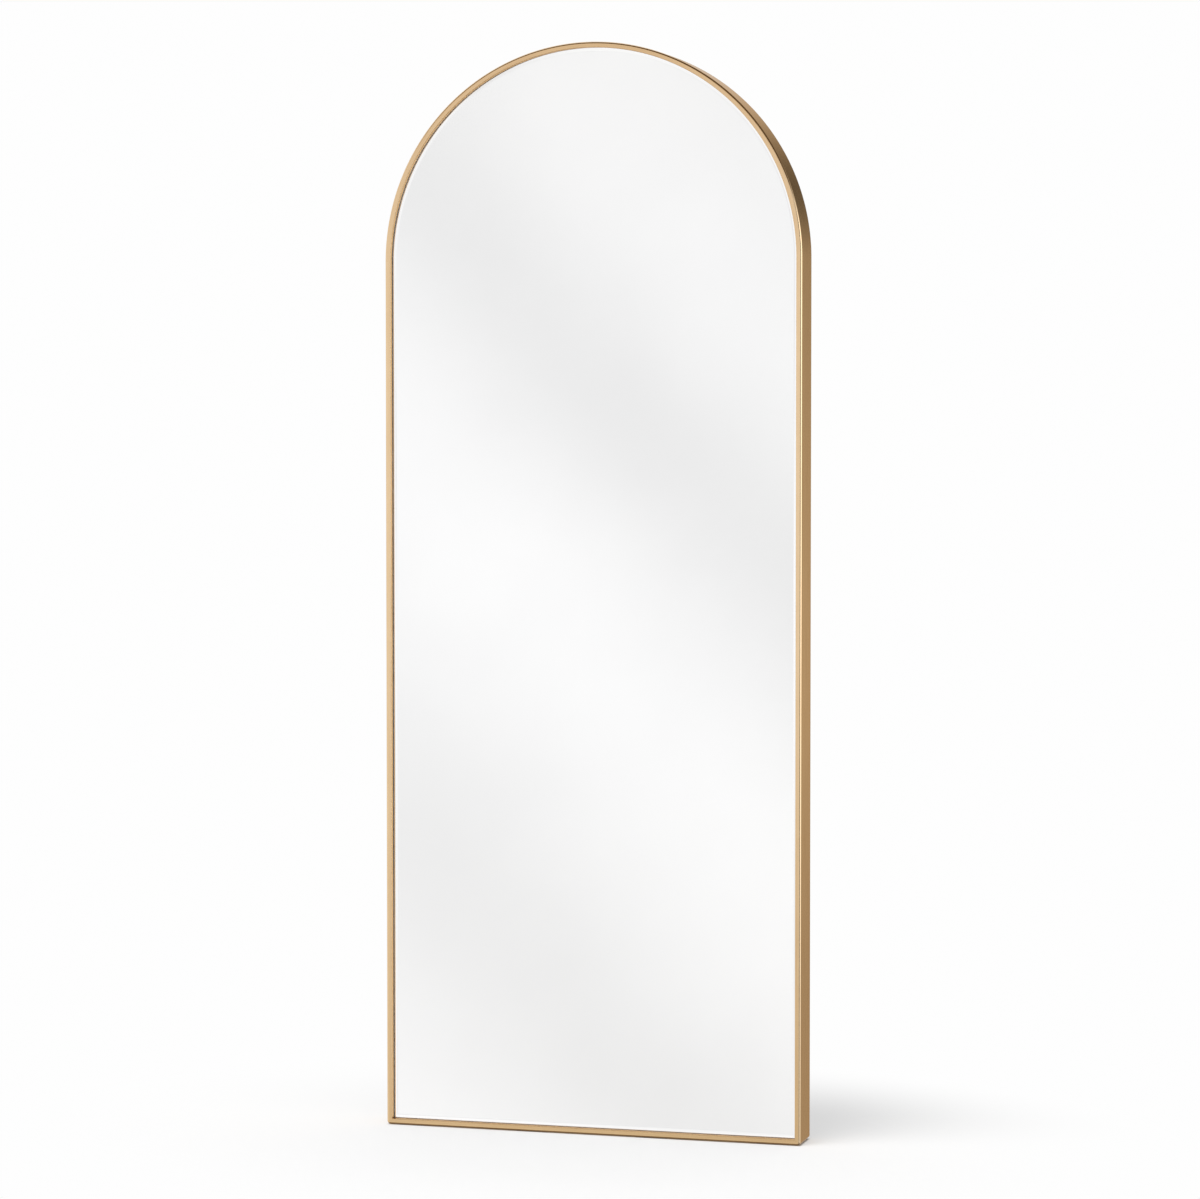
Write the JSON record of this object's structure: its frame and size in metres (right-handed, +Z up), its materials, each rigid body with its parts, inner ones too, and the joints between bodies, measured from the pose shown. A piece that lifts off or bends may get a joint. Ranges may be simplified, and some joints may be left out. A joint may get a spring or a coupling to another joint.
{
  "type": "arched floor mirror",
  "caption": "Tall arched mirror with a bevelled glass in a deep, narrow brass-coloured metal frame, for standing on the floor, leaning or hanging.",
  "frame": {"origin": "on the floor, under the middle of the whole mirror's box, wall bumpers included", "axes": "+Z up, +X across the mirror to the right as one faces it, -Y out of the glass, +Y towards the wall"},
  "size_m": [0.762, 0.078, 1.93],
  "materials": {
    "gold_metal": "brushed, warm brass-coloured plating under clear lacquer",
    "clear_glass": "polished float glass, ground and polished bevel",
    "silvering": "silvered coating with its protective paint",
    "foam_tape": "closed-cell foam",
    "backing_board": "fibreboard",
    "cover_board": "fibreboard, black-faced",
    "softwood": "planed pine",
    "zinc_steel": "zinc-plated steel",
    "dark_rubber": "matt moulded rubber"
  },
  "bodies": {
    "mirror": {"frame_band": "gold_metal", "mirror_glass": "clear_glass", "silver_film": "silvering", "glazing_tape": "foam_tape", "foam_sheet": "foam_tape", "backing_board": "backing_board", "setting_blocks": "dark_rubber", "foot_pads": "dark_rubber", "subframe_stile_left": "softwood", "subframe_stile_right": "softwood", "subframe_bottom_rail": "softwood", "subframe_lower_rail": "softwood", "subframe_middle_rail": "softwood", "subframe_upper_rail": "softwood", "subframe_arch_1": "softwood", "subframe_arch_2": "softwood", "subframe_arch_3": "softwood", "rear_cover": "cover_board", "joint_screws": "zinc_steel", "cover_screws": "zinc_steel", "retaining_lugs": "zinc_steel", "weld_studs": "zinc_steel", "lug_nuts": "zinc_steel", "lug_screws": "zinc_steel", "hanger_strap_left": "zinc_steel", "hanger_strap_right": "zinc_steel", "hanger_screws": "zinc_steel", "wall_bumpers": "dark_rubber", "bumper_screws": "zinc_steel"},
    "ring_left": {"hanger_ring_left": "zinc_steel"},
    "ring_right": {"hanger_ring_right": "zinc_steel"}
  },
  "joints": [
    {"name": "ring_left_swing", "type": "hinge", "parent": "mirror", "child": "ring_left", "pos_m": [-0.362, 0.0292, 1.275], "axis": [1, 0, 0], "range_deg": [-1.5, 185]},
    {"name": "ring_right_swing", "type": "hinge", "parent": "mirror", "child": "ring_right", "pos_m": [0.362, 0.0292, 1.275], "axis": [1, 0, 0], "range_deg": [-1.5, 185]}
  ]
}
